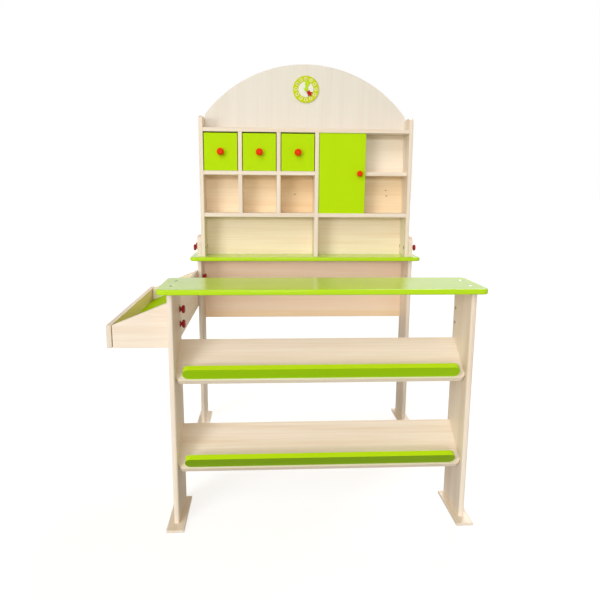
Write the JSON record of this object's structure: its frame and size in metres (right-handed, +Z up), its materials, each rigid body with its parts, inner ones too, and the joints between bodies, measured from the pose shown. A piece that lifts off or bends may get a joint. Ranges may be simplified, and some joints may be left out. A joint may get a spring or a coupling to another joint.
{
  "type": "toy market stall",
  "caption": "Wooden toy market stall: counter with sloped display shelves, rear cabinet with drawers, sliding door and play clock, and a side tray joining them.",
  "frame": {"origin": "on the floor, under the middle of the whole stall's bounding box", "axes": "+Z up, -Y towards the customer's side of the counter, +X along the counter to the customer's right"},
  "size_m": [0.834, 0.733, 1.111],
  "materials": {
    "birch": "clear satin lacquer",
    "lime_lacquer": "gloss lime lacquer",
    "red_lacquer": "gloss red lacquer",
    "deep_red_lacquer": "gloss deep red lacquer",
    "white_lacquer": "satin white lacquer",
    "steel": "zinc plated"
  },
  "bodies": {
    "frame": {"front_upright_right": "birch", "front_upright_left": "birch", "front_foot_left": "birch", "front_foot_right": "birch", "counter_top": "lime_lacquer", "counter_screws": "steel", "display_shelf_upper": "birch", "display_shelf_lower": "birch", "display_rail_upper": "lime_lacquer", "display_rail_lower": "lime_lacquer", "shelf_dowels": "birch", "rear_leg_right": "birch", "rear_leg_left": "birch", "rear_foot_left": "birch", "rear_foot_right": "birch", "rear_apron": "birch", "rear_apron_strip": "birch", "rear_worktop": "lime_lacquer", "bracket_left": "birch", "bracket_right": "birch", "cabinet_side_left": "birch", "cabinet_side_right": "birch", "cabinet_top": "birch", "cabinet_back": "birch", "centre_divider": "birch", "drawer_shelf": "birch", "lower_shelf_left": "birch", "lower_shelf_right": "birch", "bay_shelf": "birch", "drawer_divider_1": "birch", "drawer_divider_2": "birch", "lower_divider_1": "birch", "lower_divider_2": "birch", "cabinet_bolts": "steel", "cabinet_knobs": "deep_red_lacquer", "clock_ring": "lime_lacquer", "clock_face": "white_lacquer", "clock_spots": "white_lacquer", "clock_pin": "lime_lacquer", "tray_front_panel": "birch", "tray_rear_panel": "birch", "tray_lip_panel": "birch", "tray_end_panel": "birch", "tray_floor": "lime_lacquer", "tray_bolts": "steel", "tray_knobs": "deep_red_lacquer"},
    "drawer_1": {"drawer_front_1": "lime_lacquer", "drawer_box_1": "birch", "drawer_knob_1": "red_lacquer"},
    "drawer_2": {"drawer_front_2": "lime_lacquer", "drawer_box_2": "birch", "drawer_knob_2": "red_lacquer"},
    "drawer_3": {"drawer_front_3": "lime_lacquer", "drawer_box_3": "birch", "drawer_knob_3": "red_lacquer"},
    "door": {"sliding_door": "lime_lacquer", "door_knob": "red_lacquer"},
    "hour": {"hour_hand": "lime_lacquer"},
    "minute": {"minute_hand": "red_lacquer"}
  },
  "joints": [
    {"name": "drawer_1_slide", "type": "slide", "parent": "frame", "child": "drawer_1", "axis": [0, -1, 0], "range_m": [0, 0.05]},
    {"name": "drawer_2_slide", "type": "slide", "parent": "frame", "child": "drawer_2", "axis": [0, -1, 0], "range_m": [0, 0.05]},
    {"name": "drawer_3_slide", "type": "slide", "parent": "frame", "child": "drawer_3", "axis": [0, -1, 0], "range_m": [0, 0.05]},
    {"name": "door_slide", "type": "slide", "parent": "frame", "child": "door", "axis": [1, 0, 0], "range_m": [0, 0.128]},
    {"name": "hour_turn", "type": "hinge", "parent": "frame", "child": "hour", "pos_m": [0.067, 0.3115, 1.039], "axis": [0, -1, 0], "continuous": true},
    {"name": "minute_turn", "type": "hinge", "parent": "frame", "child": "minute", "pos_m": [0.067, 0.3095, 1.039], "axis": [0, -1, 0], "continuous": true}
  ]
}
